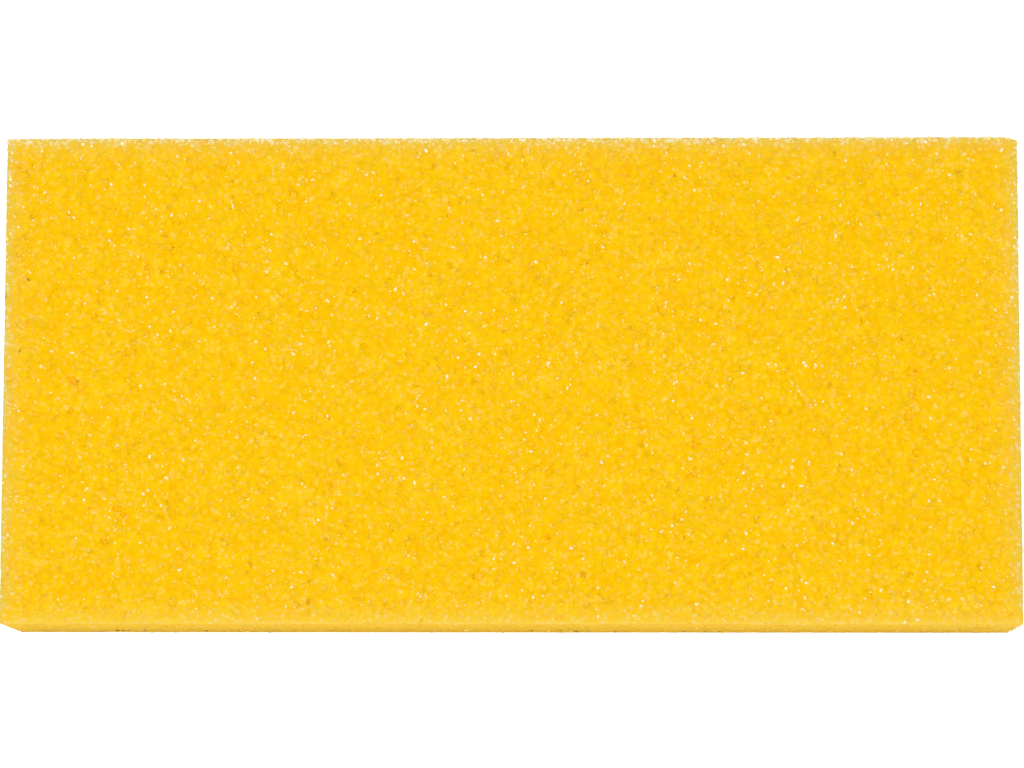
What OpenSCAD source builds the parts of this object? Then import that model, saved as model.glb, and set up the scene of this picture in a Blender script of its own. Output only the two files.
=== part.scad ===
// A rectangular block of yellow open-cell foam, sawn square on all six faces.
// The frame: +X along the length, +Y across the width, +Z up through the thickness.
// The origin is at the middle of the face that the block lies on.

/* [Foam block] */
// Length of the block, along X
block_length = 270; // [200:5:330]
// Width of the block, along Y
block_width = 130; // [90:5:170]
// Thickness of the block, along Z
block_thickness = 40; // [20:1:60]

/* [Sawn edges] */
// Width of the soft bevel where two sawn faces meet
edge_bevel = 0.6; // [0.2:0.1:2]
// How far the skewed saw cut at the far right corner runs along the length
skew_length = 3.4; // [1.5:0.1:8]
// How far the same cut bites into the width
skew_width = 0.8; // [0.4:0.1:2]

/* [Open cells] */
// Mean distance between the large burst cells on every face
cell_pitch = 11; // [11:0.5:24]
// How far a cell may stray from its even place, as a share of that distance
cell_wander = 0.35; // [0:0.05:0.5]
// Radius of the smallest of the large cells
cell_radius_min = 0.6; // [0.4:0.05:1]
// Radius of the largest of the large cells
cell_radius_max = 1.3; // [1.1:0.05:2]
// Depth of the shallowest of them, as a share of its radius
cell_depth_min = 0.45; // [0.3:0.05:0.8]
// Depth of the deepest of them, as a share of its radius
cell_depth_max = 1.15; // [0.9:0.05:1.6]
// Share of the large cells that have burst through into a neighbour
twin_share = 0.1; // [0:0.05:0.3]
// Radius of that neighbour, as a share of the first cell's radius
twin_radius_share = 0.7; // [0.5:0.05:0.9]
// Width of whole foam left between the large cells and the edges of a face
rim_width = 0.4; // [0.2:0.1:3]

/* [Hidden] */
foam_yellow = "#fbc71a";
cell_facets = 16;
// How far the bevelling profiles run past the block on each side
overrun = 5;

// Steps of the plastic number: successive fractions never bunch together.
SPREAD_STEP = [0.7548776662, 0.5698402910];
// Irrational steps for what should look like chance: the fractions of their square multiples.
WANDER_STEP = [0.6457513111, 0.3166247904];
SIZE_STEP = 0.6180339887;
DEPTH_STEP = 0.4142135624;
TWIN_STEP = 0.7320508076;
TURN_STEP = 0.2360679775;

// How far a cell's and its twin's far walls can be from the cell's centre
cell_reach = cell_radius_max * (1 + twin_radius_share);
// The nearest that a cell's centre comes to the edge of its face
cell_inset = cell_reach + edge_bevel + rim_width;

function fraction(x) = x - floor(x);

// A share between 0 and 1 that changes from cell to cell as if by chance
function chance(i, step) = fraction(i * i * step);

// The i-th point of an even scatter over the unit square, strayed by up to wander on each axis
function scatter(i, wander) = [
    for (k = [0, 1])
        fraction(0.5 + i * SPREAD_STEP[k] + wander[k] * (2 * chance(i, WANDER_STEP[k]) - 1))
];

// Small cells are common and large ones are rare, so the share is squared.
function cell_radius(i) =
    cell_radius_min + (cell_radius_max - cell_radius_min) * pow(chance(i, SIZE_STEP), 2);

// Depth of the i-th cell as a share of its radius: above 1 its mouth is narrower than the cell.
function cell_depth(i) =
    cell_depth_min + (cell_depth_max - cell_depth_min) * chance(i, DEPTH_STEP);

// A bubble cut open by the face z = 0, so that it is as deep as a share of its radius
module open_bubble(radius, depth_share) {
    translate([0, 0, radius * (1 - depth_share)])
        sphere(r = radius, $fn = cell_facets);
}

// One large cell, and the neighbour that it has burst into where it has one
module burst_cell(i) {
    radius = cell_radius(i);
    open_bubble(radius, cell_depth(i));
    if (chance(i, TWIN_STEP) < twin_share)
        rotate([0, 0, 360 * chance(i, TURN_STEP)])
            translate([radius, 0, 0])
                open_bubble(radius * twin_radius_share, cell_depth(i));
}

// The large burst cells of one face, in the face's own frame: the face is z = 0 and +z is outwards.
// first_cell keeps the six faces from sharing one pattern.
module burst_cells(face_size, first_cell) {
    cell_count = floor(face_size.x * face_size.y / pow(cell_pitch, 2));
    field = face_size - 2 * [cell_inset, cell_inset];
    wander = [for (side = field) cell_wander * cell_pitch / side];
    for (i = [first_cell : first_cell + cell_count - 1]) {
        place = scatter(i, wander) - [0.5, 0.5];
        translate([place.x * field.x, place.y * field.y])
            burst_cell(i);
    }
}

// A rectangle about the origin with its four corners bevelled
module bevelled_rectangle(size) {
    x = size.x / 2;
    y = size.y / 2;
    b = edge_bevel;
    polygon([
        [x - b, -y], [x, -y + b], [x, y - b], [x - b, y],
        [-x + b, y], [-x, y - b], [-x, -y + b], [-x + b, -y]
    ]);
}

// The plan outline, with the skewed saw cut at its far right corner
module plan_outline() {
    difference() {
        bevelled_rectangle([block_length, block_width]);
        polygon([
            [block_length / 2 - skew_length, block_width / 2],
            [block_length / 2 + skew_length, block_width / 2 - 2 * skew_width],
            [block_length / 2 + skew_length, block_width / 2 + overrun],
            [block_length / 2 - skew_length, block_width / 2 + overrun]
        ]);
    }
}

// The block without its cells: what its plan, front and side outlines have in common
module sawn_block() {
    intersection() {
        linear_extrude(block_thickness) plan_outline();
        translate([0, block_width / 2 + overrun, block_thickness / 2])
            rotate([90, 0, 0])
                linear_extrude(block_width + 2 * overrun)
                    bevelled_rectangle([block_length, block_thickness]);
        translate([-block_length / 2 - overrun, 0, block_thickness / 2])
            rotate([90, 0, 90])
                linear_extrude(block_length + 2 * overrun)
                    bevelled_rectangle([block_width, block_thickness]);
    }
}

module foam_block() {
    plan = [block_length, block_width];
    front = [block_length, block_thickness];
    side = [block_width, block_thickness];
    middle = [0, 0, block_thickness / 2];
    color(foam_yellow)
        difference() {
            sawn_block();
            translate([0, 0, block_thickness]) burst_cells(plan, 1);
            rotate([180, 0, 0]) burst_cells(plan, 1001);
            translate(middle + [0, -block_width / 2, 0])
                rotate([90, 0, 0]) burst_cells(front, 2001);
            translate(middle + [0, block_width / 2, 0])
                rotate([-90, 0, 0]) burst_cells(front, 3001);
            translate(middle + [block_length / 2, 0, 0])
                rotate([90, 0, 90]) burst_cells(side, 4001);
            translate(middle + [-block_length / 2, 0, 0])
                rotate([90, 0, -90]) burst_cells(side, 5001);
        }
}

foam_block();
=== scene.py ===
# %% [markdown]
# # A block of open-cell sponge foam
#
# The piece is one rectangular block of yellow foam, sawn square on all six faces. Sawing cuts the
# foam's cells open, so every face is a field of small bowls between thin rims, with a few larger
# cells that have burst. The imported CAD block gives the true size. It is loaded first and never
# changed, and the foam's skin is made in its place.

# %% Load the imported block
import math

import bmesh
import bpy
from mathutils import Matrix, Vector


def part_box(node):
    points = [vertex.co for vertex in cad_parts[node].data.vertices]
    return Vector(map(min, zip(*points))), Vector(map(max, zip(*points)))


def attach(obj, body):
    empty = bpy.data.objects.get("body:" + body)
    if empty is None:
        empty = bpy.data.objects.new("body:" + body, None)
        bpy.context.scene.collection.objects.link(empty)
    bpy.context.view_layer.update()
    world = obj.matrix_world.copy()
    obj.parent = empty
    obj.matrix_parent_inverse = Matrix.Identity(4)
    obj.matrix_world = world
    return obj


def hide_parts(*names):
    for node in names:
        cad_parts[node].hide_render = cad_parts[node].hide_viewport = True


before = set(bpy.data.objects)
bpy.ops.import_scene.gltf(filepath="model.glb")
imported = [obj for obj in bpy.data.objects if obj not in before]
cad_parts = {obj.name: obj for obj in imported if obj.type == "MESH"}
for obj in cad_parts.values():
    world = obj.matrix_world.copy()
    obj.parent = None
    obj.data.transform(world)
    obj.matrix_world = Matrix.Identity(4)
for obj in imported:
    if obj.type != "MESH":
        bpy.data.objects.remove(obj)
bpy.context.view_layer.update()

MM = 0.001
scene = bpy.context.scene
block_low, block_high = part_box("foam_block")
block_size = block_high - block_low
block_middle = (block_low + block_high) / 2
print("block in mm:", [round(side / MM, 1) for side in block_size])

# %% [markdown]
# ## Small helpers
#
# Geometry and materials are trees of nodes. Each node is added with one call that also fills its
# inputs: a value is written into the input, and another node's output is linked. That keeps a
# tree readable as a recipe, from top to bottom. The nodes that come up most have short names of
# their own: sums, ramps, noise.

# %% Helpers: objects, trees and groups
def in_scene(name, data):
    """A new object in the scene, at the origin."""
    thing = bpy.data.objects.new(name, data)
    scene.collection.objects.link(thing)
    return thing


def add(tree, kind, inputs=None, **settings):
    """Adds a node, sets its properties, and fills its inputs, given by name or by number."""
    node = tree.nodes.new(kind)
    for name, value in settings.items():
        setattr(node, name, value)
    for name, value in (inputs or {}).items():
        if isinstance(value, bpy.types.NodeSocket):
            tree.links.new(value, node.inputs[name])
        else:
            node.inputs[name].default_value = value
    return node


def new_tree(name, kind, inputs, outputs):
    """An empty node group with named sockets: the tree, what it is given and what it has to make."""
    tree = bpy.data.node_groups.new(name, kind)
    for side, sockets in (("INPUT", inputs), ("OUTPUT", outputs)):
        for socket_name, socket_kind in sockets.items():
            tree.interface.new_socket(socket_name, in_out=side, socket_type="NodeSocket" + socket_kind)
    return tree, tree.nodes.new("NodeGroupInput").outputs, tree.nodes.new("NodeGroupOutput").inputs


def feed(tree, inputs, values):
    """Links values to inputs, given by name."""
    for name, value in values.items():
        tree.links.new(value, inputs[name])


def placed(tree, group, inputs):
    """The outputs of a group that is placed in a tree with its own values."""
    kind = group.bl_idname.replace("NodeTree", "NodeGroup")
    return add(tree, kind, inputs, node_tree=group).outputs


# %% Helpers: numbers
def maths(tree, operation, *values):
    """The output of one Math node."""
    return add(tree, "ShaderNodeMath", dict(enumerate(values)), operation=operation).outputs[0]


def times(tree, first, *others):
    """Numbers multiplied, from the first to the last."""
    for other in others:
        first = maths(tree, "MULTIPLY", first, other)
    return first


def plus(tree, first, second):
    return maths(tree, "ADD", first, second)


def minus(tree, first, second):
    return maths(tree, "SUBTRACT", first, second)


def over(tree, first, second):
    return maths(tree, "DIVIDE", first, second)


def power(tree, value, exponent):
    return maths(tree, "POWER", value, exponent)


def clamped(tree, value, least=0.0):
    """A number held between the least value and 1."""
    return add(tree, "ShaderNodeClamp", {"Value": value, "Min": least}).outputs[0]


def ramped(tree, value, low, high, start=0.0, end=1.0, **settings):
    """Goes from start to end while the value goes from low to high, and stays there past them."""
    inputs = {"Value": value, "From Min": low, "From Max": high, "To Min": start, "To Max": end}
    return add(tree, "ShaderNodeMapRange", inputs, **settings).outputs["Result"]


# %% Helpers: places and noise
def vector_of(tree, operation, *values):
    """The vector output of one Vector Math node."""
    return add(tree, "ShaderNodeVectorMath", dict(enumerate(values)), operation=operation).outputs[0]


def scaled(tree, vector, factor):
    """A vector times a number."""
    inputs = {0: vector, "Scale": factor}
    return add(tree, "ShaderNodeVectorMath", inputs, operation="SCALE").outputs[0]


def axes_of(tree, vector):
    """A vector's X, Y and Z."""
    return add(tree, "ShaderNodeSeparateXYZ", {0: vector}).outputs


def vector_from(tree, x, y, z):
    return add(tree, "ShaderNodeCombineXYZ", {0: x, 1: y, 2: z}).outputs[0]


def in_steps(tree, place, step):
    """A place counted in steps of a given size, which sets the size of what a noise makes."""
    return scaled(tree, place, over(tree, 1.0, step))


def noise(tree, place, scale=1.0, detail=2.0, roughness=0.5):
    """The outputs of a smooth noise: first a number, then a colour."""
    inputs = {"Vector": place, "Scale": scale, "Detail": detail, "Roughness": roughness}
    return add(tree, "ShaderNodeTexNoise", inputs).outputs


def wobble(tree, place, scale, detail=1.0):
    """A push that changes smoothly over the space, up to half a unit along each axis."""
    colour = noise(tree, place, scale, detail)["Color"]
    return vector_of(tree, "SUBTRACT", colour, (0.5, 0.5, 0.5))


# %% [markdown]
# ## The camera
#
# The camera looks almost straight down on the block, from a little in front of it, so that the
# front face shows as a thin strip under the top face. A long lens, more than a metre away, keeps
# the four sides nearly parallel.

# %% Camera
IMAGE_WIDTH = 1024
SENSOR_WIDTH = 36.0
FOCAL_PIXELS = 3947.0
CAMERA_PLACE = Vector((22, -125, 1080)) * MM
CAMERA_AIM = Vector((0, 1.1, 20)) * MM
CAMERA_ROLL = math.radians(0.11)
CAMERA_REACH = 20.0


def looking_at(place, aim, roll):
    """The matrix of a camera that looks from a place at a point, with +Y up in its picture."""
    ahead = (aim - place).normalized()
    right = ahead.cross(Vector((0, 1, 0))).normalized()
    up = right.cross(ahead)
    turned_right = right * math.cos(roll) + up * math.sin(roll)
    turned_up = up * math.cos(roll) - right * math.sin(roll)
    axes = Matrix((turned_right, turned_up, -ahead)).transposed()
    return Matrix.Translation(place) @ axes.to_4x4()


camera = in_scene("camera", bpy.data.cameras.new("camera"))
camera.data.sensor_width = SENSOR_WIDTH
camera.data.lens = FOCAL_PIXELS / IMAGE_WIDTH * SENSOR_WIDTH
camera.data.clip_end = CAMERA_REACH
camera.matrix_world = looking_at(CAMERA_PLACE, CAMERA_AIM, CAMERA_ROLL)
scene.camera = camera
print("lens in mm:", round(camera.data.lens, 1))

# %% [markdown]
# ## Light and floor
#
# A white studio: an even white surround does most of the work, and one large softbox overhead
# gives the cells a little shade. The floor glows slightly, as a light table does, so that it
# stays white right up to the block. Only the camera sees that glow: the block's sides are lit by
# the plain white floor. The standard view transform keeps the foam's strong yellow.

# %% Studio light
SURROUND_STRENGTH = 0.937
SOFTBOX_SIDE = 1.2
SOFTBOX_PLACE = Vector((-0.3, -0.5, 1.25))
SOFTBOX_WATTS = 3.6

scene.view_settings.view_transform = "Standard"
scene.world = bpy.data.worlds.new("white_surround")
scene.world.use_nodes = True
surround = scene.world.node_tree.nodes["Background"].inputs
surround["Color"].default_value = (1, 1, 1, 1)
surround["Strength"].default_value = SURROUND_STRENGTH

softbox = in_scene("softbox", bpy.data.lights.new("softbox", "AREA"))
softbox.data.shape = "SQUARE"
softbox.data.size = SOFTBOX_SIDE
softbox.data.energy = SOFTBOX_WATTS
softbox.location = SOFTBOX_PLACE
softbox.rotation_euler = (block_middle - SOFTBOX_PLACE).to_track_quat("-Z", "Y").to_euler()
print("softbox height in m:", softbox.location.z)

# %% Studio floor
FLOOR_SIDE = 12.0
FLOOR_DROP = 0.4 * MM
FLOOR_WHITE = 0.88
FLOOR_GLOW = 0.6


def floor_material():
    """Matt white to every ray, with a glow that only the camera sees."""
    material = bpy.data.materials.new("studio_floor")
    material.use_nodes = True
    tree = material.node_tree
    tree.nodes.clear()
    matt = add(tree, "ShaderNodeBsdfDiffuse", {"Color": (FLOOR_WHITE,) * 3 + (1,)})
    seen = add(tree, "ShaderNodeLightPath").outputs["Is Camera Ray"]
    glow = add(tree, "ShaderNodeEmission", {"Strength": times(tree, seen, FLOOR_GLOW)})
    both = add(tree, "ShaderNodeAddShader", {0: matt.outputs[0], 1: glow.outputs[0]})
    add(tree, "ShaderNodeOutputMaterial", {"Surface": both.outputs[0]})
    return material


def floor_plane():
    """A square, lower than the block's foot by the little that its rough skin hangs down."""
    mesh = bpy.data.meshes.new("floor")
    half = FLOOR_SIDE / 2
    corners = [(x * half, y * half, -FLOOR_DROP) for x, y in ((-1, -1), (1, -1), (1, 1), (-1, 1))]
    mesh.from_pydata(corners, [], [(0, 1, 2, 3)])
    mesh.materials.append(floor_material())
    return in_scene("floor", mesh)


floor_plane()

# %% [markdown]
# ## What the foam's colour does
#
# Foam this bright is coloured by light that has passed through many cell walls. Light that comes
# back from deep in a cell is a strong orange yellow, and it is painted into the middles of the fine
# cells. The knots between cells are paler, partly because they are thinner and partly as painted
# highlights on lit rims, and a few glints are painted in too. The front face, which is lit less
# than the top, is lifted by painted light, and so is a strip of the top face behind it. Along the
# edges, painted shade makes the foam a little olive, with pale specks of painted light, and a band
# of painted light lies on the far top edge. The foam is also darker towards its foot. So four
# effects drive the colour, and each is a shader group with named sockets: the fine cells, the
# patches that are more or less dense, the place in the block, and the darker foot.

# %% Effect: bubbles
WAVINESS = 1.3
BUBBLE_HEART = 0.1
BUBBLE_RIM = 0.7


def bubbles_group():
    """Bubbles of one size in three dimensions, so that a saw cut shows them on every face.
    Centre is 1 in the middle of a bubble, and Tone is the bubble's own chance, from 0 to 1."""
    inputs = {"Vector": "Vector", "Bubble Size": "Float", "Unevenness": "Float"}
    outputs = {"Centre": "Float", "Tone": "Float"}
    tree, given, made = new_tree("bubbles", "ShaderNodeTree", inputs, outputs)
    place = in_steps(tree, given["Vector"], given["Bubble Size"])
    shift = scaled(tree, wobble(tree, place, WAVINESS), given["Unevenness"])
    place = vector_of(tree, "ADD", place, shift)
    bubble = add(tree, "ShaderNodeTexVoronoi", {"Vector": place, "Scale": 1.0}, feature="F1").outputs
    centre = ramped(tree, bubble["Distance"], BUBBLE_HEART, BUBBLE_RIM, 1.0, 0.0,
                    interpolation_type="SMOOTHSTEP")
    tone = add(tree, "ShaderNodeTexWhiteNoise", {"Vector": bubble["Color"]}).outputs["Value"]
    feed(tree, made, {"Centre": centre, "Tone": tone})
    return tree


# %% Effect: patches
PATCH_DETAIL = 2.0
PATCH_ROUGHNESS = 0.6


def patches_group():
    """Soft patches from 0 to 1, a few cells across, where the foam is a little denser or opener."""
    inputs = {"Vector": "Vector", "Patch Size": "Float", "Contrast": "Float"}
    tree, given, made = new_tree("patches", "ShaderNodeTree", inputs, {"Patch": "Float"})
    place = in_steps(tree, given["Vector"], given["Patch Size"])
    patch = noise(tree, place, detail=PATCH_DETAIL, roughness=PATCH_ROUGHNESS)[0]
    spread = times(tree, minus(tree, patch, 0.5), given["Contrast"])
    feed(tree, made, {"Patch": clamped(tree, plus(tree, spread, 0.5))})
    return tree


# %% Effect: place in the block
FRINGE_FALL = 2.5
FRINGE_TOP_FALL = 3.0


def depths_under_faces(tree, offset, size):
    """Depths under the nearest faces across X, Y and Z, of a place counted from the block's
    middle."""
    half = scaled(tree, size, 0.5)
    return axes_of(tree, vector_of(tree, "SUBTRACT", half, vector_of(tree, "ABSOLUTE", offset)))


def edge_distance(tree, offset, size):
    """Distance to the block's nearest edge, from a place counted from the block's middle: the
    middle one of the distances to the three nearest faces."""
    x, y, z = depths_under_faces(tree, offset, size)
    lesser = maths(tree, "MINIMUM", x, y)
    greater = maths(tree, "MAXIMUM", x, y)
    distance = maths(tree, "MAXIMUM", lesser, maths(tree, "MINIMUM", greater, z))
    return maths(tree, "MAXIMUM", distance, 0.0)


def place_in_block_group():
    """Edge is 1 on the block's twelve edges and fades inwards over a length. Fringe is 1 only on
    the top edge of the far face, and fades faster. Well is 0 at the faces and 1 past a depth, so
    it marks the large burst cells and the bottoms of the deepest fine bowls."""
    inputs = {"Vector": "Vector", "Block Size": "Vector", "Block Middle": "Vector", "Fade": "Float",
              "Fringe Width": "Float", "Well Top": "Float", "Well Floor": "Float"}
    outputs = {"Edge": "Float", "Fringe": "Float", "Well": "Float"}
    tree, given, made = new_tree("place_in_block", "ShaderNodeTree", inputs, outputs)
    offset = vector_of(tree, "SUBTRACT", given["Vector"], given["Block Middle"])
    share = over(tree, edge_distance(tree, offset, given["Block Size"]), given["Fade"])
    edge = power(tree, math.exp(-1), share)
    half = scaled(tree, given["Block Size"], 0.5)
    from_far, from_top = axes_of(tree, vector_of(tree, "SUBTRACT", half, offset))[1:]
    far = ramped(tree, from_far, 0.0, given["Fringe Width"], 1.0, 0.0)
    top = ramped(tree, from_top, 0.0, given["Fringe Width"], 1.0, 0.0)
    fringe = times(tree, far, power(tree, edge, FRINGE_FALL), power(tree, top, FRINGE_TOP_FALL))
    x, y, z = depths_under_faces(tree, offset, given["Block Size"])
    depth = maths(tree, "MINIMUM", maths(tree, "MINIMUM", x, y), z)
    well = ramped(tree, depth, given["Well Top"], given["Well Floor"])
    feed(tree, made, {"Edge": edge, "Fringe": fringe, "Well": well})
    return tree


# %% Effect: darker foot
BLOTCH_NOISE = (0.3, 0.7)
BLOTCH_SHARES = (0.5, 1.5)
BLOTCH_DETAIL = 3.0
BLOTCH_ROUGHNESS = 0.7
FOOT_DARK_FALL = 2.0


def darker_foot_group():
    """Foot Dark is how much darker the foam is along its foot: most at the floor, fading upwards,
    and blotchy. Front is 1 on the front face and fades over a length behind it."""
    inputs = {"Vector": "Vector", "Height": "Float", "Blotch Size": "Float", "Front Y": "Float",
              "Front Fade": "Float"}
    outputs = {"Foot Dark": "Float", "Front": "Float"}
    tree, given, made = new_tree("darker_foot", "ShaderNodeTree", inputs, outputs)
    y, z = axes_of(tree, given["Vector"])[1:]
    up = clamped(tree, over(tree, z, given["Height"]))
    low = power(tree, minus(tree, 1.0, up), FOOT_DARK_FALL)
    place = in_steps(tree, given["Vector"], given["Blotch Size"])
    grain = noise(tree, place, detail=BLOTCH_DETAIL, roughness=BLOTCH_ROUGHNESS)[0]
    blotch = ramped(tree, grain, *BLOTCH_NOISE, *BLOTCH_SHARES)
    front = ramped(tree, minus(tree, y, given["Front Y"]), 0.0, given["Front Fade"], 1.0, 0.0)
    feed(tree, made, {"Foot Dark": times(tree, low, blotch), "Front": front})
    return tree


BUBBLES = bubbles_group()
PATCHES = patches_group()
PLACE_IN_BLOCK = place_in_block_group()
DARKER_FOOT = darker_foot_group()
print("shader groups:", [group.name for group in (BUBBLES, PATCHES, PLACE_IN_BLOCK, DARKER_FOOT)])

# %% [markdown]
# ## The foam's material
#
# One material covers the whole block. A painted image would stretch and show seams where faces
# meet. Tints that are worked out from the place in space run on from face to face, as they do in
# foam. So the material starts from the foam's own yellow and lays one tint over another, each
# through its own mask, as a painter does with glazes. Several of these tints are painted light and
# shade. Two things more are in it. A noise bumps the surface, finer than a mesh could carry. And
# the deep cells and the front face give off a little painted light, as a glow: real foam lets light
# through its walls, which solid walls in a model stop, and the front face is lit less than the top.
# That light is too weak to be worth sampling as a lamp, so its sampling is off.

# %% Foam material: colours
# Deep orange: a random tone, and in the fine cells' middles painted light bounced deep in a cell.
FOAM_DEEP = (0.985, 0.505, 0.0000, 1)
FOAM_BODY = (0.932, 0.560, 0.0030, 1)
# Knots and glints: partly thinner foam, partly painted highlights.
FOAM_PALE_HIGHLIGHT = (0.990, 0.800, 0.3400, 1)
# Edges: painted shade where they catch more light, pale specks of painted light, and a band of painted
# light on the far top edge.
FOAM_EDGE_SHADE = (0.100, 0.600, 0.3000, 1)
FOAM_EDGE_LIGHT_SPECK = (0.800, 0.780, 0.6000, 1)
FOAM_FAR_EDGE_LIGHT = (0.960, 0.880, 0.6000, 1)
# Painted light in the deep wells, which lifts the shade that falls in them.
FOAM_WELL_LIGHT = (0.990, 0.600, 0.0040, 1)
# Painted light: the front face, lit less than the top, and a strip of the top face behind it.
FOAM_FRONT_LIGHT = (1.000, 0.760, 0.0500, 1)
FOAM_FRONT_FACE_LIGHT = (1.000, 0.630, 0.0900, 1)
# Darker towards the foot, most of all on the front face.
FOAM_FOOT_DARK = (0.330, 0.190, 0.0250, 1)
NO_LIGHT = (0, 0, 0, 1)
# Painted light: the glow of the deep wells and of the front face.
LIGHT_THROUGH = (0.085, 0.047, 0.0000, 1)


def mixed(tree, share, first, second):
    """A colour between two colours."""
    inputs = {0: share, 6: first, 7: second}
    return add(tree, "ShaderNodeMix", inputs, data_type="RGBA").outputs[2]


def new_material(name, roughness, gloss):
    """A new material, its tree, and the inputs of its Principled shader."""
    material = bpy.data.materials.new(name)
    material.use_nodes = True
    surface = material.node_tree.nodes["Principled BSDF"].inputs
    surface["Roughness"].default_value = roughness
    surface["Specular IOR Level"].default_value = gloss
    return material, material.node_tree, surface


# %% Foam material: where it is deeper, and where it is paler or has painted highlights
CELLS = {"Bubble Size": 1.6 * MM, "Unevenness": 0.8}
KNOTS = {"Bubble Size": 1.1 * MM, "Unevenness": 0.9}
GLINTS = {"Bubble Size": 1.7 * MM, "Unevenness": 1.2}
SMALL_PATCHES = {"Patch Size": 2.6 * MM, "Contrast": 3.0}
LARGE_PATCHES = {"Patch Size": 6 * MM, "Contrast": 3.0}
PATCH_SHARE = 0.6
PIT_SHARE = 0.6
REGION_SHARE = 0.5
KNOT_FALL = 3.0
KNOT_SHARE = 0.3
MOST_KNOTS = 1.4
KNOTS_LOST_IN_DEEP = 0.8
GLINT_RANGE = (0.5, 0.95)
GLINT_FALL = 1.5
GLINT_SHARE = 0.36


def deeper(tree, place, region):
    """More orange: in small patches and over wide regions, where the tone changes at random, and in the
    middles of the fine cells, as painted light that bounced deep in a cell.
    """
    patch = placed(tree, PATCHES, {"Vector": place, **SMALL_PATCHES})["Patch"]
    cells = placed(tree, BUBBLES, {"Vector": place, **CELLS})
    pit = times(tree, cells["Centre"], cells["Tone"])
    deep = plus(tree, times(tree, patch, PATCH_SHARE), times(tree, pit, PIT_SHARE))
    wide = times(tree, minus(tree, region, 0.5), REGION_SHARE)
    return clamped(tree, plus(tree, deep, wide))


def paler(tree, place, knots, region):
    """Paler: at the knots between cells, most of all outside the deep regions, and at glints. The knots
    are partly thinner foam and partly painted highlights on lit rims, and the glints are painted
    highlights.
    """
    knot = times(tree, power(tree, knots["Tone"], KNOT_FALL), knots["Centre"])
    kept = minus(tree, MOST_KNOTS, times(tree, region, KNOTS_LOST_IN_DEEP))
    glints = placed(tree, BUBBLES, {"Vector": place, **GLINTS})
    glint = ramped(tree, times(tree, glints["Tone"], glints["Centre"]), *GLINT_RANGE)
    glint = times(tree, power(tree, glint, GLINT_FALL), GLINT_SHARE)
    return clamped(tree, plus(tree, times(tree, knot, kept, KNOT_SHARE), glint))


# %% Foam material: painted shade and light at its edges, and its darker foot
IN_BLOCK = {"Fade": 2.0 * MM, "Fringe Width": 4 * MM, "Well Top": 0.2 * MM, "Well Floor": 0.8 * MM}
AT_FOOT = {"Height": 38 * MM, "Blotch Size": 5 * MM, "Front Fade": 6 * MM}
EDGE_SHADE_SHARE = 0.2
SPECK_LIGHT_SHARE = 0.8
EDGE_LOST_IN_FRONT = 0.7
FRINGE_EVEN = 0.15
FRINGE_DOTTED = 2.6
FOOT_DARK_EVERYWHERE = 0.12
FOOT_DARK_IN_FRONT = 0.32


def with_edge_light_and_shade(tree, colour, block, front, dot):
    """Painted shade makes the edges olive and painted light adds pale specks, both weaker near the front
    face, and a band of painted light lies on the far fringe.
    """
    kept = minus(tree, 1.0, times(tree, front, EDGE_LOST_IN_FRONT))
    edge = times(tree, block["Edge"], EDGE_SHADE_SHARE, kept)
    speck = times(tree, block["Edge"], times(tree, dot, SPECK_LIGHT_SHARE), kept)
    dotted = plus(tree, FRINGE_EVEN, times(tree, dot, FRINGE_DOTTED))
    # Painted shade, then pale specks of painted light, then the far band of painted light.
    colour = mixed(tree, edge, colour, FOAM_EDGE_SHADE)
    colour = mixed(tree, speck, colour, FOAM_EDGE_LIGHT_SPECK)
    return mixed(tree, clamped(tree, times(tree, block["Fringe"], dotted)), colour, FOAM_FAR_EDGE_LIGHT)


def with_darker_foot(tree, colour, foot):
    """Darker all round the foot, and more so on the front face."""
    share = plus(tree, times(tree, foot["Front"], FOOT_DARK_IN_FRONT), FOOT_DARK_EVERYWHERE)
    return mixed(tree, times(tree, foot["Foot Dark"], share), colour, FOAM_FOOT_DARK)


# %% Foam material
FOAM_ROUGHNESS = 0.7
FOAM_GLOSS = 0.01
NEAR_FRONT_LIGHT_SHARE = 0.17
FACE_FALL = 8.0
FRONT_FACE_LIGHT_SHARE = 0.5
GRAINS_PER_MM = 1.3
GRAIN_DETAIL = 1.0
GRAIN_STRENGTH = 0.85
GRAIN_HEIGHT = 0.4 * MM


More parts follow.
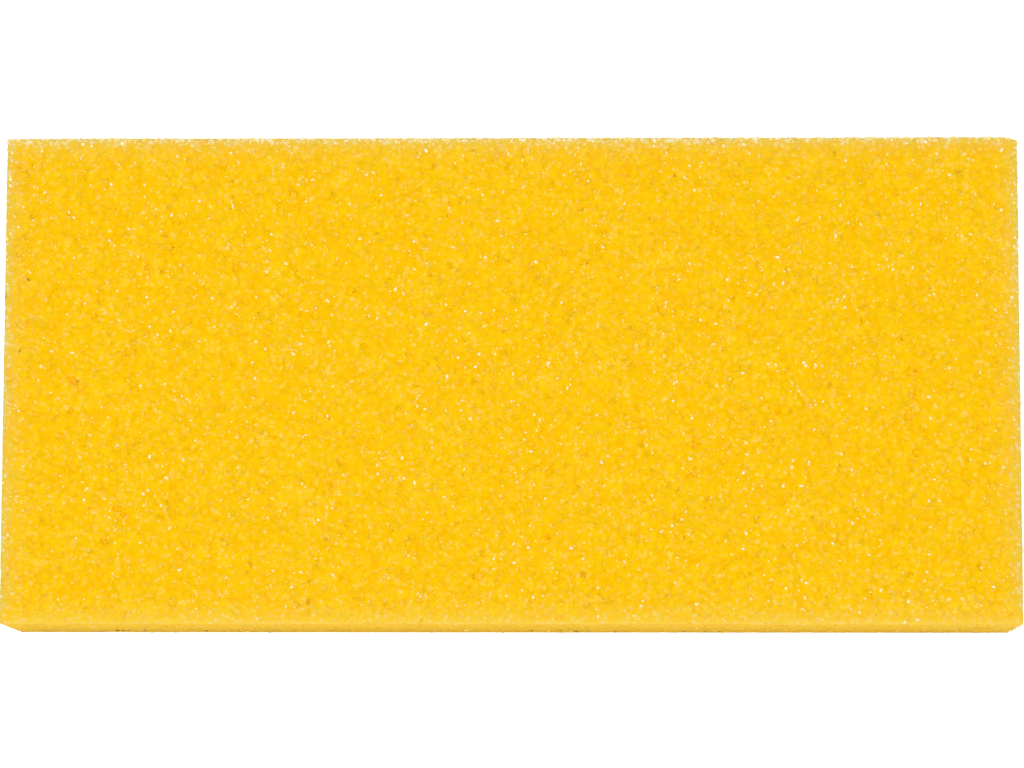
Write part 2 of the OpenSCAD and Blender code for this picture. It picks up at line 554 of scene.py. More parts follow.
def foam_material():
    """The foam's yellow, tinted by depth and walls, with painted light in the wells and on the front,
    painted highlights and glints, painted shade and light at the edges, and darker towards the foot.
    """
    material, tree, surface = new_material("yellow_foam", FOAM_ROUGHNESS, FOAM_GLOSS)
    place = add(tree, "ShaderNodeTexCoord").outputs["Object"]
    knots = placed(tree, BUBBLES, {"Vector": place, **KNOTS})
    region = placed(tree, PATCHES, {"Vector": place, **LARGE_PATCHES})["Patch"]
    block = placed(tree, PLACE_IN_BLOCK, {"Vector": place, "Block Size": block_size,
                                          "Block Middle": block_middle, **IN_BLOCK})
    foot = placed(tree, DARKER_FOOT, {"Vector": place, "Front Y": block_low.y, **AT_FOOT})
    front_face_light = times(tree, power(tree, foot["Front"], FACE_FALL), FRONT_FACE_LIGHT_SHARE)
    colour = mixed(tree, deeper(tree, place, region), FOAM_BODY, FOAM_DEEP)
    # Painted light lifts the shade in the deep wells.
    colour = mixed(tree, block["Well"], colour, FOAM_WELL_LIGHT)
    # Pale knots, partly painted highlights, and painted glints.
    colour = mixed(tree, paler(tree, place, knots, region), colour, FOAM_PALE_HIGHLIGHT)
    # Painted light on the front face and on the strip of the top face behind it.
    colour = mixed(tree, times(tree, foot["Front"], NEAR_FRONT_LIGHT_SHARE), colour, FOAM_FRONT_LIGHT)
    colour = mixed(tree, front_face_light, colour, FOAM_FRONT_FACE_LIGHT)
    dot = times(tree, knots["Tone"], knots["Centre"])
    colour = with_darker_foot(tree, with_edge_light_and_shade(tree, colour, block, foot["Front"], dot), foot)
    grain = noise(tree, place, GRAINS_PER_MM / MM, GRAIN_DETAIL)[0]
    bump = add(tree, "ShaderNodeBump", {"Height": grain, "Strength": GRAIN_STRENGTH,
                                        "Distance": GRAIN_HEIGHT}).outputs[0]
    # Painted light: a glow in the deep wells and on the front face.
    lit = clamped(tree, plus(tree, block["Well"], front_face_light))
    through = mixed(tree, lit, NO_LIGHT, LIGHT_THROUGH)
    feed(tree, surface, {"Base Color": colour, "Normal": bump, "Emission Color": through})
    surface["Emission Strength"].default_value = 1.0
    material.cycles.emission_sampling = "NONE"
    return material


foam_finish = foam_material()
print("foam material nodes:", len(foam_finish.node_tree.nodes))

# %% [markdown]
# ## The large burst cells
#
# The CAD block has its large cells at places worked out from a formula: steps of an irrational
# number, which never bunch, plus a little stray. The same formula is worked out here, so that the
# large cells made here are the large cells of the part. Each face is filled in its own flat frame
# and then turned to its place. The cells are only points with a radius so far: a tree of nodes
# cuts them out of the foam later on, as round holes with slightly dented walls.

# %% Places of the burst cells
CELL_PITCH = 11.0
CELL_WANDER = 0.35
CELL_RADII = (0.6, 1.3)
CELL_DEPTHS = (0.45, 1.15)
TWIN_SHARE = 0.1
TWIN_RADIUS = 0.7
EDGE_BEVEL = 0.6
RIM_WIDTH = 0.4
FIRST_CELL = 1
CELLS_PER_FACE = 1000
SPREAD_STEP = (0.7548776662, 0.5698402910)
WANDER_STEP = (0.6457513111, 0.3166247904)
SIZE_STEP = 0.6180339887
DEPTH_STEP = 0.4142135624
TWIN_STEP = 0.7320508076
TURN_STEP = 0.2360679775


def chance(i, step):
    """A share between 0 and 1 that changes from cell to cell as if by chance."""
    return (i * i * step) % 1.0


def between(limits, share):
    """The number that lies at a share of the way between two limits."""
    return limits[0] + (limits[1] - limits[0]) * share


def cells_of_face(width, height, first_cell):
    """[(place in the face's frame, radius)] of one face's large cells, in mm."""
    inset = CELL_RADII[1] * (1 + TWIN_RADIUS) + EDGE_BEVEL + RIM_WIDTH
    field = (width - 2 * inset, height - 2 * inset)
    found = []
    for i in range(first_cell, first_cell + int(width * height / CELL_PITCH**2)):
        flat = []
        for k in (0, 1):
            stray = CELL_WANDER * CELL_PITCH / field[k] * (2 * chance(i, WANDER_STEP[k]) - 1)
            flat.append(((0.5 + i * SPREAD_STEP[k] + stray) % 1.0 - 0.5) * field[k])
        radius = between(CELL_RADII, chance(i, SIZE_STEP) ** 2)
        rise = 1 - between(CELL_DEPTHS, chance(i, DEPTH_STEP))
        found.append((Vector((*flat, radius * rise)), radius))
        if chance(i, TWIN_STEP) < TWIN_SHARE:
            turn = 2 * math.pi * chance(i, TURN_STEP)
            beside = Vector((*flat, 0)) + Vector((math.cos(turn), math.sin(turn), 0)) * radius
            twin = radius * TWIN_RADIUS
            found.append((beside + Vector((0, 0, twin * rise)), twin))
    return found


def burst_cells():
    """Every large cell of the six faces: (place in metres, radius in metres)."""
    length, width, thickness = (side / MM for side in block_size)
    middle = Vector((0, 0, thickness / 2))
    quarter = math.pi / 2
    faces = [  # the face's size, its middle, and its turns about X and then Z
        ((length, width), Vector((0, 0, thickness)), 0, 0),
        ((length, width), Vector((0, 0, 0)), 2 * quarter, 0),
        ((length, thickness), middle - Vector((0, width / 2, 0)), quarter, 0),
        ((length, thickness), middle + Vector((0, width / 2, 0)), -quarter, 0),
        ((width, thickness), middle + Vector((length / 2, 0, 0)), quarter, quarter),
        ((width, thickness), middle - Vector((length / 2, 0, 0)), quarter, -quarter),
    ]
    found = []
    for face, (size, origin, turn_x, turn_z) in enumerate(faces):
        turned = Matrix.Rotation(turn_z, 3, "Z") @ Matrix.Rotation(turn_x, 3, "X")
        for centre, radius in cells_of_face(*size, FIRST_CELL + face * CELLS_PER_FACE):
            found.append(((origin + turned @ centre) * MM, radius * MM))
    return found


# %% Places where the saw tore the foam
FRAY_COUNT = 150
FRAY_RADII = (0.3, 0.65)
FRAY_OUT = 0.3
FRAY_CLEAR = 5
NICK_PLACE = Vector((-135.2, 22.6, 40.2))
NICK_RADIUS = 1.0
NICK_STEPS = 6


def torn_places():
    """Small bites along the top edge of the far face, where the saw came out, and a nick that
    runs down the left end from its top edge."""
    bites = [((NICK_PLACE - Vector((0, 0, i))) * MM, NICK_RADIUS * MM) for i in range(NICK_STEPS)]
    reach = block_high.x / MM - FRAY_CLEAR
    for i in range(FRAY_COUNT):
        along = ((i + chance(i, WANDER_STEP[0])) / FRAY_COUNT * 2 - 1) * reach
        out = FRAY_OUT * chance(i, WANDER_STEP[1])
        place = Vector((along, block_high.y / MM + out, block_high.z / MM + out))
        bites.append((place * MM, between(FRAY_RADII, chance(i, SIZE_STEP)) * MM))
    return bites


def point_cloud(name, balls):
    """An object of bare points, each with its radius, for a node tree to read."""
    mesh = bpy.data.meshes.new(name)
    mesh.from_pydata([place for place, radius in balls], [], [])
    radii = mesh.attributes.new("radius", "FLOAT", "POINT")
    radii.data.foreach_set("value", [radius for place, radius in balls])
    return in_scene(name, mesh)


cell_places = burst_cells()
burst_places = point_cloud("burst_places", cell_places + torn_places())
print("large cells with their twins:", len(cell_places), "bites and nick:", len(torn_places()))

# %% [markdown]
# ## A surface of open cells
#
# Foam cells pack like bubbles: every cell has about six neighbours and no two are alike. A grid of
# points that are strayed a little, joined into triangles and then turned inside out (its dual)
# gives just that: one many-sided cell round each point. Geometry Nodes does it in a blink, and
# wraps it round the block's edges without a seam.

# %% Helpers: geometry
def position(tree):
    return add(tree, "GeometryNodeInputPosition").outputs[0]


def moved(tree, geometry, offset):
    """Geometry with its points moved by an offset."""
    return add(tree, "GeometryNodeSetPosition", {"Geometry": geometry, "Offset": offset}).outputs[0]


def by_chance(tree, low, high, seed):
    """A random number between two numbers, or a random vector between two vectors."""
    if isinstance(low, tuple):
        inputs = {0: low, 1: high, "Seed": seed}
        return add(tree, "FunctionNodeRandomValue", inputs, data_type="FLOAT_VECTOR").outputs[0]
    return add(tree, "FunctionNodeRandomValue", {2: low, 3: high, "Seed": seed}).outputs[1]


def finish(tree, made, geometry, material):
    """Ends a tree: three-sided faces, smooth shading, real geometry and its material."""
    facets = add(tree, "GeometryNodeTriangulate", {0: geometry}).outputs[0]
    smooth = add(tree, "GeometryNodeSetShadeSmooth", {0: facets, "Shade Smooth": True}).outputs[0]
    real = add(tree, "GeometryNodeRealizeInstances", {0: smooth}).outputs[0]
    coated = add(tree, "GeometryNodeSetMaterial", {"Geometry": real, "Material": material}).outputs[0]
    feed(tree, made, {"Geometry": coated})


# %% Node group: the block's skin of cells
JUST_INSIDE = 0.4999


def drifted_grid(tree, grid, given):
    """Bends the grid's rows by a slow noise, which keeps them from showing as lines."""
    place = position(tree)
    push = wobble(tree, in_steps(tree, place, given["Drift Size"]), 1.0)
    half = scaled(tree, given["Size"], 0.5)
    room = vector_of(tree, "SUBTRACT", half, vector_of(tree, "ABSOLUTE", place))
    hold = vector_of(tree, "MINIMUM", in_steps(tree, room, given["Drift Size"]), (1, 1, 1))
    return moved(tree, grid, vector_of(tree, "MULTIPLY", scaled(tree, push, given["Drift"]), hold))


def strayed_grid(tree, grid, given):
    """Strays each point by chance. A point on a face stays on it, and one on an edge along it."""
    inner_half = scaled(tree, given["Size"], JUST_INSIDE)
    room = vector_of(tree, "SUBTRACT", inner_half, vector_of(tree, "ABSOLUTE", position(tree)))
    free = vector_of(tree, "MAXIMUM", vector_of(tree, "SIGN", room), (0, 0, 0))
    stray = vector_of(tree, "MULTIPLY", by_chance(tree, (-1, -1, -1), (1, 1, 1), given["Seed"]), free)
    reach = times(tree, given["Stray"], given["Cell Pitch"])
    return moved(tree, grid, scaled(tree, stray, reach))


def drawn_to_edges(tree, grid, given):
    """Draws the outermost row of cells close to the block's edges, so that the edges stay sharp, and
    spreads the other rows over what is left. A number linked to a vector counts on all its axes."""
    half = scaled(tree, given["Size"], 0.5)
    row, cell = given["Edge Row"], given["Cell Pitch"]
    place = position(tree)
    depth = vector_of(tree, "SUBTRACT", half, vector_of(tree, "ABSOLUTE", place))
    outer = scaled(tree, depth, over(tree, row, cell))
    stretch = vector_of(tree, "DIVIDE", vector_of(tree, "SUBTRACT", half, row),
                        vector_of(tree, "SUBTRACT", half, cell))
    inner = vector_of(tree, "MULTIPLY", vector_of(tree, "SUBTRACT", depth, cell), stretch)
    drawn = vector_of(tree, "MAXIMUM", outer, vector_of(tree, "ADD", row, inner))
    side = vector_of(tree, "SIGN", place)
    drawn_place = vector_of(tree, "MULTIPLY", side, vector_of(tree, "SUBTRACT", half, drawn))
    return add(tree, "GeometryNodeSetPosition", {"Geometry": grid, "Position": drawn_place}).outputs[0]


def cell_skin_tree():
    """A closed skin of many-sided cells in the shape of a box about the origin."""
    inputs = {"Size": "Vector", "Cell Pitch": "Float", "Stray": "Float", "Drift": "Float",
              "Drift Size": "Float", "Edge Row": "Float", "Seed": "Int"}
    tree, given, made = new_tree("cell_skin", "GeometryNodeTree", inputs, {"Mesh": "Geometry"})
    counts = {}
    for axis, side in zip("XYZ", axes_of(tree, given["Size"])):
        cells = maths(tree, "ROUND", over(tree, side, given["Cell Pitch"]))
        counts["Vertices " + axis] = plus(tree, cells, 1)
    grid = add(tree, "GeometryNodeMeshCube", {"Size": given["Size"], **counts}).outputs[0]
    for bent in (drifted_grid, strayed_grid, drawn_to_edges):
        grid = bent(tree, grid, given)
    joined = add(tree, "GeometryNodeTriangulate", {0: grid}, quad_method="SHORTEST_DIAGONAL").outputs[0]
    feed(tree, made, {"Mesh": add(tree, "GeometryNodeDualMesh", {0: joined}).outputs[0]})
    return tree


CELL_SKIN = cell_skin_tree()


# %% Node group: the skewed corner and the place on the floor
def seat_tree():
    """Draws in the far right corner as the saw did, and lifts the block on to the floor."""
    inputs = {"Geometry": "Geometry", "Size": "Vector", "Skew Length": "Float", "Skew Width": "Float"}
    tree, given, made = new_tree("seat", "GeometryNodeTree", inputs, {"Geometry": "Geometry"})
    x, y = axes_of(tree, position(tree))[:2]
    half_x, half_y, half_z = axes_of(tree, scaled(tree, given["Size"], 0.5))
    past = minus(tree, x, minus(tree, half_x, given["Skew Length"]))
    along = clamped(tree, over(tree, past, given["Skew Length"]))
    across = clamped(tree, over(tree, y, half_y))
    drawn = times(tree, along, across, given["Skew Width"], -1.0)
    feed(tree, made, {"Geometry": moved(tree, given["Geometry"], vector_from(tree, 0.0, drawn, half_z))})
    return tree


SEAT = seat_tree()
print("geometry groups:", [group.name for group in (CELL_SKIN, SEAT)])

# %% [markdown]
# ## The block itself
#
# Each cell of the skin becomes a bowl: the corners of its rim are lifted or lowered a little by
# chance, and its middle is pushed in and drawn together to one point. Displacing a fine grid by a
# texture would look much the same, but would take several times the faces. Then the large cells,
# the bites and the nick are cut out by a boolean, with balls that noise has dented, because no
# burst cell is quite round.

# %% Helpers: balls and dents
BALL_SUBDIVISIONS = 2


def balls_at(tree, cloud, squash):
    """Real balls at the points of a cloud, each with its point's radius, times a squash."""
    points = add(tree, "GeometryNodeObjectInfo", {"Object": cloud}).outputs["Geometry"]
    radius = add(tree, "GeometryNodeInputNamedAttribute", {"Name": "radius"}, data_type="FLOAT")
    scale = scaled(tree, squash, radius.outputs[0])
    ball = add(tree, "GeometryNodeMeshIcoSphere", {"Radius": 1.0, "Subdivisions": BALL_SUBDIVISIONS})
    balls = add(tree, "GeometryNodeInstanceOnPoints", {"Points": points, "Instance": ball.outputs[0],
                                                       "Scale": scale})
    return add(tree, "GeometryNodeRealizeInstances", {0: balls.outputs[0]}).outputs[0]


def dented(tree, geometry, dent, dents_per_mm, detail):
    """Geometry pushed about by noise, by half a dent at most."""
    push = wobble(tree, scaled(tree, position(tree), 1 / MM), dents_per_mm, detail)
    return moved(tree, geometry, scaled(tree, push, dent))


def made_by(tree, name, values):
    """Runs a tree on an empty object and returns the object with the result as its plain mesh."""
    piece = in_scene(name, bpy.data.meshes.new(name))
    modifier = piece.modifiers.new(tree.name, "NODES")
    modifier.node_group = tree
    for socket in tree.interface.items_tree:
        if socket.item_type == "SOCKET" and socket.in_out == "INPUT" and socket.name in values:
            modifier[socket.identifier] = values[socket.name]
    graph = bpy.context.evaluated_depsgraph_get()
    mesh = bpy.data.meshes.new_from_object(piece.evaluated_get(graph), preserve_all_data_layers=True,
                                           depsgraph=graph)
    piece.modifiers.clear()
    piece.data = mesh
    mesh.name = name
    print(name, "faces:", len(mesh.polygons))
    return piece


# %% Node tree: the foam block
LEAST_RELIEF = 0.03
RIM_LIFTS = (-1.0, 0.25)
PIT_DEPTHS = (0.3, 1.0)
WELD_DISTANCE = 1e-7
WALL_DENTS_PER_MM = 1.1
WALL_DENT_DETAIL = 1.0


def foam_block_tree():
    """The block's whole skin: bowls between rims, with the burst cells and bites cut out of it.
    The relief fades out towards the block's edges over the edge width."""
    lengths = ("Cell Pitch", "Stray", "Drift", "Drift Size", "Edge Row", "Rim Height", "Pit Depth",
               "Edge Width", "Cell Dent", "Skew Length", "Skew Width")
    inputs = {"Size": "Vector", **dict.fromkeys(lengths, "Float"), "Seed": "Int",
              "Burst Cells": "Object", "Material": "Material"}
    tree, given, made = new_tree("foam_block", "GeometryNodeTree", inputs, {"Geometry": "Geometry"})
    skin_inputs = ("Size", "Cell Pitch", "Stray", "Drift", "Drift Size", "Edge Row", "Seed")
    skin = placed(tree, CELL_SKIN, {name: given[name] for name in skin_inputs})["Mesh"]
    whole = over(tree, edge_distance(tree, position(tree), given["Size"]), given["Edge Width"])
    whole = clamped(tree, whole, LEAST_RELIEF)
    outward = add(tree, "GeometryNodeInputNormal").outputs[0]
    lift = times(tree, by_chance(tree, *RIM_LIFTS, given["Seed"]), whole, given["Rim Height"])
    rims = moved(tree, skin, scaled(tree, outward, lift))
    sunk = times(tree, by_chance(tree, *PIT_DEPTHS, given["Seed"]), whole, given["Pit Depth"], -1.0)
    pits = add(tree, "GeometryNodeExtrudeMesh", {"Mesh": rims, "Offset Scale": sunk,
                                                 "Individual": True}).outputs
    pointed = add(tree, "GeometryNodeScaleElements", {"Geometry": pits["Mesh"],
                                                      "Selection": pits["Top"], "Scale": 0.0})
    bowls = add(tree, "GeometryNodeMergeByDistance", {"Geometry": pointed.outputs[0],
                                                      "Distance": WELD_DISTANCE}).outputs[0]
    seat_inputs = {name: given[name] for name in ("Size", "Skew Length", "Skew Width")}
    seated = placed(tree, SEAT, {"Geometry": bowls, **seat_inputs})["Geometry"]
    balls = balls_at(tree, given["Burst Cells"], (1, 1, 1))
    balls = dented(tree, balls, given["Cell Dent"], WALL_DENTS_PER_MM, WALL_DENT_DETAIL)
    burst = add(tree, "GeometryNodeMeshBoolean", {"Mesh 1": seated, "Mesh 2": balls},
                operation="DIFFERENCE", solver="MANIFOLD").outputs[0]
    finish(tree, made, burst, given["Material"])
    return tree


foam_block = made_by(foam_block_tree(), "foam_block_open_cells", {
    "Size": block_size, "Cell Pitch": 2.22 * MM, "Stray": 0.43, "Drift": 5 * MM, "Drift Size": 12 * MM,
    "Edge Row": 0.5 * MM, "Rim Height": 0.35 * MM, "Pit Depth": 0.7 * MM, "Edge Width": 4 * MM,
    "Cell Dent": 1.6 * MM, "Skew Length": 3.4 * MM, "Skew Width": 0.8 * MM, "Seed": 4,
    "Burst Cells": burst_places, "Material": foam_finish})
bpy.data.objects.remove(burst_places)

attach(foam_block, "root")
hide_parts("foam_block")

# %% [markdown]
# ## Struts and windows that the saw left
#
# A saw doesn't leave clean bowls. It leaves arches of foam between the cells, torn struts that
# stand up, and here and there a cell's thin window. The windows' glint is painted into their
# near-white colour. A bump in the material could hint at them, but it casts no shadow and is gone
# at a low angle. They are small meshes set on the foam by the thousand instead, so each has only a
# few faces. The front face has the fewest of them, and the windows, with their painted glints,
# crowd along the edges of the far face.

# %% Node group: small pieces scattered over the foam
FAR_SIDE_FALL = 3.0
FRONT_KEEP_DEPTH = 2 * MM
CLUMP_NOISE = (0.35, 0.65)
CLUMP_SHARES = (0.15, 1.85)
LOWEST_FACING = -0.6
SIZE_SEED_STEP = 7
SQUEEZES = ((0.8, 0.6, 0.7), (1.4, 1.1, 1.1))


def crowding(tree, given):
    """How close the pieces stand, in pieces for each square metre. They stand in clumps, and none
    hang from the underside. Front Share is what the front face keeps of them. Edge Share is what
    the edges add, most of all at the far face, or take away where it is negative."""
    place = position(tree)
    y = axes_of(tree, place)["Y"]
    half_y, half_z = axes_of(tree, scaled(tree, given["Size"], 0.5))[1:]
    from_middle = vector_of(tree, "SUBTRACT", place, vector_from(tree, 0.0, 0.0, half_z))
    distance = edge_distance(tree, from_middle, given["Size"])
    away = clamped(tree, over(tree, distance, given["Edge Width"]))
    far_side = power(tree, ramped(tree, over(tree, y, half_y), -1.0, 1.0), FAR_SIDE_FALL)
    near_edge = times(tree, minus(tree, 1.0, away), given["Edge Share"], far_side)
    front_keep = ramped(tree, plus(tree, y, half_y), 0.0, FRONT_KEEP_DEPTH, given["Front Share"], 1.0)
    grain = noise(tree, in_steps(tree, place, given["Clump Size"]))[0]
    clump = ramped(tree, grain, *CLUMP_NOISE, *CLUMP_SHARES)
    facing = axes_of(tree, add(tree, "GeometryNodeInputNormal").outputs[0])["Z"]
    shown = maths(tree, "GREATER_THAN", facing, LOWEST_FACING)
    per_area = over(tree, shown, power(tree, given["Spacing"], 2.0))
    return times(tree, per_area, front_keep, plus(tree, clump, near_edge))


def turned_by_chance(tree, upright, given):
    """Turns a piece about its own axis, and tilts it a little off the foam's normal."""
    turns = by_chance(tree, (-1, -1, -math.pi), (1, 1, math.pi), given["Seed"])
    leaning = vector_from(tree, given["Tilt"], given["Tilt"], 1.0)
    turns = vector_of(tree, "MULTIPLY", turns, leaning)
    turn = add(tree, "FunctionNodeEulerToRotation", {0: turns}).outputs[0]
    return add(tree, "FunctionNodeRotateRotation", {"Rotation": upright, "Rotate By": turn},
               rotation_space="LOCAL").outputs[0]


def sized_by_chance(tree, given):
    """A scale between two limits, the largest rare, and squeezed along each axis."""
    seed = plus(tree, given["Seed"], SIZE_SEED_STEP)
    rare = power(tree, by_chance(tree, 0.0, 1.0, seed), given["Rarity"])
    spread = minus(tree, given["Most Scale"], given["Least Scale"])
    scale = plus(tree, given["Least Scale"], times(tree, rare, spread))
    return scaled(tree, by_chance(tree, *SQUEEZES, given["Seed"]), scale)


SCATTER_INPUTS = {"Size": "Vector", "Spacing": "Float", "Edge Share": "Float", "Front Share": "Float",
                  "Edge Width": "Float", "Clump Size": "Float", "Tilt": "Float",
                  "Least Scale": "Float", "Most Scale": "Float", "Rarity": "Float", "Seed": "Int"}


def scattered_tree():
    """Sets a small piece on the foam at many points. Each is turned, tilted and sized by chance,
    and keeps its own tone from 0 to 1."""
    inputs = {"Body": "Geometry", "Piece": "Geometry", **SCATTER_INPUTS}
    tree, given, made = new_tree("scattered", "GeometryNodeTree", inputs, {"Geometry": "Geometry"})
    points = add(tree, "GeometryNodeDistributePointsOnFaces", {
        "Mesh": given["Body"], "Density": crowding(tree, given), "Seed": given["Seed"]}).outputs
    toned = add(tree, "GeometryNodeStoreNamedAttribute", {
        "Geometry": points[0], "Name": "tone", "Value": by_chance(tree, 0.0, 1.0, given["Seed"])},
        data_type="FLOAT", domain="POINT").outputs[0]
    pieces = add(tree, "GeometryNodeInstanceOnPoints", {
        "Points": toned, "Instance": given["Piece"], "Scale": sized_by_chance(tree, given),
        "Rotation": turned_by_chance(tree, points["Rotation"], given)}).outputs[0]
    feed(tree, made, {"Geometry": add(tree, "GeometryNodeRealizeInstances", {0: pieces}).outputs[0]})
    return tree


SCATTERED = scattered_tree()
print("inputs of a scatter:", len(SCATTER_INPUTS))

# %% Small pieces: an arch, a torn strut and a window
ARCH_SUNK = (0, 0, -0.15)
ARCH_SQUASH = (1, 1, 0.75)
ARCH_THICKNESS = 0.17
STRUT_BENDS = {"Start": (0, 0, -0.2), "Middle": (0.1, 0, 0.7), "End": (0.8, 0, 0.8)}
STRUT_THICKNESS = 0.2
STRUT_TIP_SHARE = 0.45
WINDOW_SQUASH = (1, 0.8, 0.5)


def tube(tree, curve, radius, end_share):
    """A three-sided tube along a curve, capped, its far end thinner by a share."""
    factor = add(tree, "GeometryNodeSplineParameter").outputs["Factor"]
    thinned = minus(tree, 1.0, times(tree, factor, 1 - end_share))
    profile = add(tree, "GeometryNodeCurvePrimitiveCircle", {"Resolution": 3, "Radius": radius})
    return add(tree, "GeometryNodeCurveToMesh", {
        "Curve": curve, "Profile Curve": profile.outputs[0], "Scale": thinned,
        "Fill Caps": True}).outputs[0]


def arch(tree):
    """What is left between two open cells: an arch with both feet in the foam."""
    curve = add(tree, "GeometryNodeCurveArc", {"Resolution": 5, "Radius": 1.0, "Sweep Angle": math.pi})
    upright = add(tree, "GeometryNodeTransform", {
        "Geometry": curve.outputs[0], "Translation": ARCH_SUNK, "Rotation": (math.pi / 2, 0, 0),
        "Scale": ARCH_SQUASH})
    return tube(tree, upright.outputs[0], ARCH_THICKNESS, 1.0)


def torn_strut(tree):
    """A strut with one foot in the foam, torn off at its other end."""
    curve = add(tree, "GeometryNodeCurveQuadraticBezier", {"Resolution": 3, **STRUT_BENDS})
    return tube(tree, curve.outputs[0], STRUT_THICKNESS, STRUT_TIP_SHARE)


def window(tree):
    """A cell's thin window that didn't break: a low blister."""
    ball = add(tree, "GeometryNodeMeshIcoSphere", {"Radius": 1.0, "Subdivisions": 1}).outputs[0]
    return add(tree, "GeometryNodeTransform", {"Geometry": ball, "Scale": WINDOW_SQUASH}).outputs[0]


def scatter_tree(name, small_piece):
    """The tree of one kind of small piece, from the foam that it stands on to its finish."""
    inputs = {"Foam": "Object", "Material": "Material", **SCATTER_INPUTS}
    tree, given, made = new_tree(name, "GeometryNodeTree", inputs, {"Geometry": "Geometry"})
    body = add(tree, "GeometryNodeObjectInfo", {"Object": given["Foam"]}).outputs["Geometry"]
    values = {socket: given[socket] for socket in SCATTER_INPUTS}
    spread = placed(tree, SCATTERED, {"Body": body, "Piece": small_piece(tree), **values})
    finish(tree, made, spread["Geometry"], given["Material"])
    return tree


# %% [markdown]
# ## The finish of the small pieces
#
# Struts and windows are thin, so they look paler than the block, and no two are alike. The bright
# end of their colours is partly painted highlight: the brightest struts stand for lit rims, and the
# windows' near-white is a painted glint. They could have a material for each shade. It is simpler
# that each small piece carries a tone from its tree, and that one material reads the tone and mixes
# a dull and a bright colour.

# %% Finish of the struts and windows
STRUT_DULL = (0.960, 0.610, 0.012, 1)
# The bright strut colour is partly thinner foam, partly a painted highlight on lit rims.
STRUT_BRIGHT_HIGHLIGHT = (0.985, 0.800, 0.240, 1)
# The windows' pale colours, dull and bright, are painted glints.
WINDOW_DULL = (0.975, 0.730, 0.160, 1)
WINDOW_GLINT = (0.990, 0.920, 0.640, 1)


def toned_finish(name, dull, bright, rarity, roughness, gloss):
    """Thin foam: each small piece has its own tone between two colours, and few are bright; the bright
    end is partly a painted highlight.
    """
    material, tree, surface = new_material(name, roughness, gloss)
    tone = add(tree, "ShaderNodeAttribute", attribute_name="tone").outputs["Fac"]
    feed(tree, surface, {"Base Color": mixed(tree, power(tree, tone, rarity), dull, bright)})
    return material


strut_finish = toned_finish("thin_struts", STRUT_DULL, STRUT_BRIGHT_HIGHLIGHT,
                            rarity=2.0, roughness=0.6, gloss=0.1)
window_glint_finish = toned_finish("cell_windows", WINDOW_DULL, WINDOW_GLINT,
                             rarity=1.8, roughness=0.5, gloss=0.2)
print("finishes:", strut_finish.name, window_glint_finish.name)

# %% Arches, torn struts and windows
STRUT_PLACES = {"Material": strut_finish, "Edge Share": -2.0, "Front Share": 0.5,
                "Edge Width": 1.5 * MM, "Rarity": 1.5}


def set_on_foam(name, small_piece, values):
    """One kind of small piece, all over the block."""
    on_block = {"Foam": foam_block, "Size": block_size}
    return made_by(scatter_tree(name, small_piece), name, {**on_block, **values})


rim_arches = set_on_foam("rim_arches", arch, {
    **STRUT_PLACES, "Spacing": 4.2 * MM, "Clump Size": 9 * MM, "Tilt": 0.5,
    "Least Scale": 0.28 * MM, "Most Scale": 0.6 * MM, "Seed": 11})
torn_struts = set_on_foam("torn_struts", torn_strut, {
    **STRUT_PLACES, "Spacing": 3.2 * MM, "Clump Size": 7 * MM, "Tilt": 0.6,
    "Least Scale": 0.25 * MM, "Most Scale": 0.5 * MM, "Seed": 23})
cell_windows = set_on_foam("cell_windows", window, {
    "Material": window_glint_finish, "Edge Share": 30.0, "Front Share": 0.2, "Edge Width": 1.6 * MM,
    "Rarity": 2.2, "Spacing": 4.4 * MM, "Clump Size": 12 * MM, "Tilt": 0.3,
    "Least Scale": 0.25 * MM, "Most Scale": 0.66 * MM, "Seed": 37})
for small_piece in (rim_arches, torn_struts, cell_windows):
    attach(small_piece, "root")

# %% [markdown]
# ## Crumbs of dirt
#
# Where the block stood on a dusty bench, a few dark crumbs are pressed into the foot of its front
# face, in loose groups, and one dark fleck lies on the top face near the left end. They are real
# lumps, because a stain alone would vanish at the low angle from which the front face is seen.

# %% Places of the crumbs
CRUMB_GROUPS = [  # middle along X, height, half the group's length, radius of a crumb, in mm, and count
    (-107, 6, 9, 0.25, 8),
    (-78, 9, 6, 0.22, 5),
    (12, 8, 9, 0.24, 6),
    (27, 4, 1, 0.22, 1),
    (52, 4, 9, 0.24, 7),
]
CRUMB_SUNK = 0.1
CRUMB_STEPS = (0.6180339887, 0.4142135624, 0.7320508076)
CRUMB_HEIGHTS = (0.5, 1.4)
CRUMB_SIZES = (0.5, 1.3)


def crumb_places():
    """Every crumb on the front face: (place in metres, radius in metres)."""
    found = []
    for group, (middle, height, reach, radius, count) in enumerate(CRUMB_GROUPS):
        for i in range(1, count + 1):
            along, up, size = (chance(i + 10 * group, step) for step in CRUMB_STEPS)
            x = middle + reach * (2 * along - 1)
            place = Vector((x, block_low.y / MM + CRUMB_SUNK, height * between(CRUMB_HEIGHTS, up)))
            found.append((place * MM, radius * between(CRUMB_SIZES, size) * MM))
    return found


# %% Node tree: crumbs
CRUMB_SQUASHES = ((1.0, 0.35, 0.6), (2.2, 0.6, 1.2))
CRUMB_DENTS_PER_MM = 1.8
CRUMB_DENT_DETAIL = 2.0


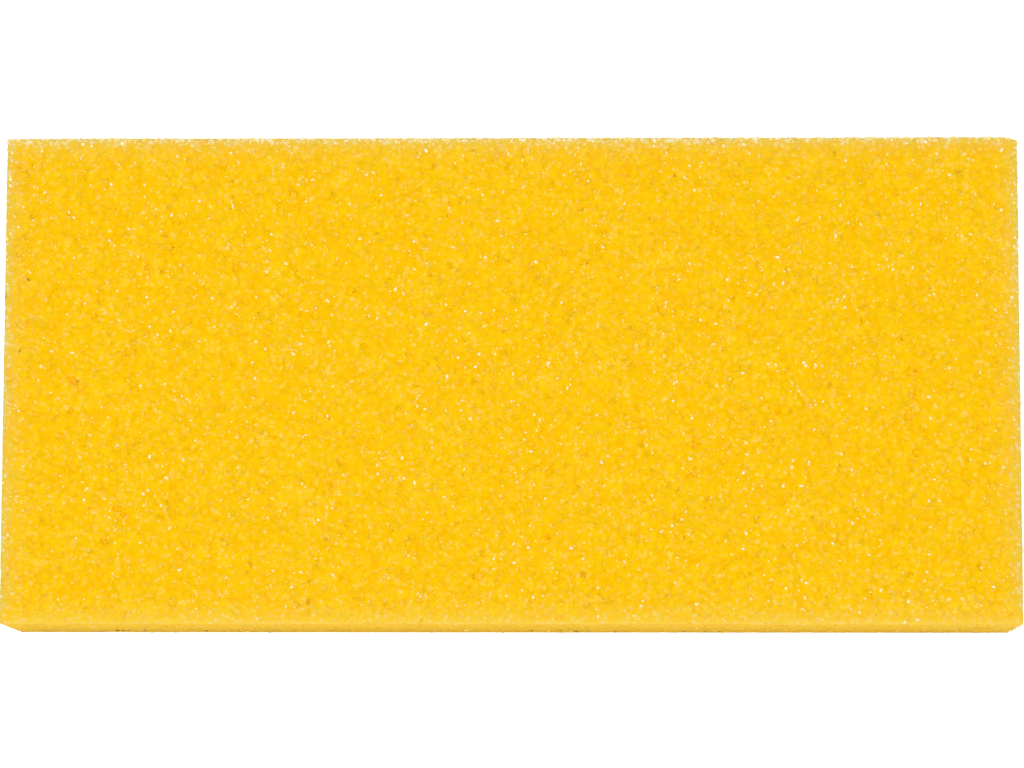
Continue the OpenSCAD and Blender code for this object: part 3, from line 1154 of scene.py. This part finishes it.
def crumb_tree():
    """A ball on each point, squashed and dented by noise so that no two are alike."""
    inputs = {"Places": "Object", "Dent": "Float", "Material": "Material", "Seed": "Int"}
    tree, given, made = new_tree("soil_crumbs", "GeometryNodeTree", inputs, {"Geometry": "Geometry"})
    balls = balls_at(tree, given["Places"], by_chance(tree, *CRUMB_SQUASHES, given["Seed"]))
    lumps = dented(tree, balls, given["Dent"], CRUMB_DENTS_PER_MM, CRUMB_DENT_DETAIL)
    finish(tree, made, lumps, given["Material"])
    return tree


# %% Finish of the dirt, and the crumbs
GRIT_DARK = (0.170, 0.100, 0.016, 1)
GRIT_LIGHT = (0.400, 0.240, 0.040, 1)
GRIT_MOTTLE = {"Patch Size": 0.6 * MM, "Contrast": 2.5}


def grit_material():
    """Dry dirt: brown to olive, matt, mottled at a fraction of a millimetre."""
    material, tree, surface = new_material("bench_grit", roughness=0.9, gloss=0.5)
    place = add(tree, "ShaderNodeTexCoord").outputs["Object"]
    mottle = placed(tree, PATCHES, {"Vector": place, **GRIT_MOTTLE})["Patch"]
    feed(tree, surface, {"Base Color": mixed(tree, mottle, GRIT_DARK, GRIT_LIGHT)})
    return material


grit_finish = grit_material()
crumb_points = point_cloud("crumb_points", crumb_places())
soil_crumbs = made_by(crumb_tree(), "soil_crumbs", {"Places": crumb_points, "Dent": 0.4 * MM,
                                                    "Material": grit_finish, "Seed": 5})
bpy.data.objects.remove(crumb_points)

# %% The dark fleck on the top face
FLECK_PLACE = Vector((-128.7, 26.8, 40.05)) * MM
FLECK_SIZE = Vector((0.5, 0.17, 0.2)) * MM
FLECK_TURN = math.radians(-48)
FLECK_TAPER = 0.35


def dark_fleck():
    """A seed of dirt: a long ball with one end drawn to a point."""
    form = bmesh.new()
    bmesh.ops.create_icosphere(form, subdivisions=BALL_SUBDIVISIONS, radius=1.0)
    for corner in form.verts:
        taper = 1 - FLECK_TAPER * max(corner.co.x, 0) ** 2
        corner.co = Vector((corner.co.x, corner.co.y * taper, corner.co.z * taper))
    mesh = bpy.data.meshes.new("dark_fleck")
    form.to_mesh(mesh)
    form.free()
    mesh.transform(Matrix.LocRotScale(FLECK_PLACE, Matrix.Rotation(FLECK_TURN, 3, "Z"), FLECK_SIZE))
    mesh.shade_smooth()
    mesh.materials.append(grit_finish)
    return in_scene("dark_fleck", mesh)


fleck = dark_fleck()
print("crumbs:", len(crumb_places()), "fleck faces:", len(fleck.data.polygons))

for dirt in (soil_crumbs, fleck):
    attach(dirt, "root")
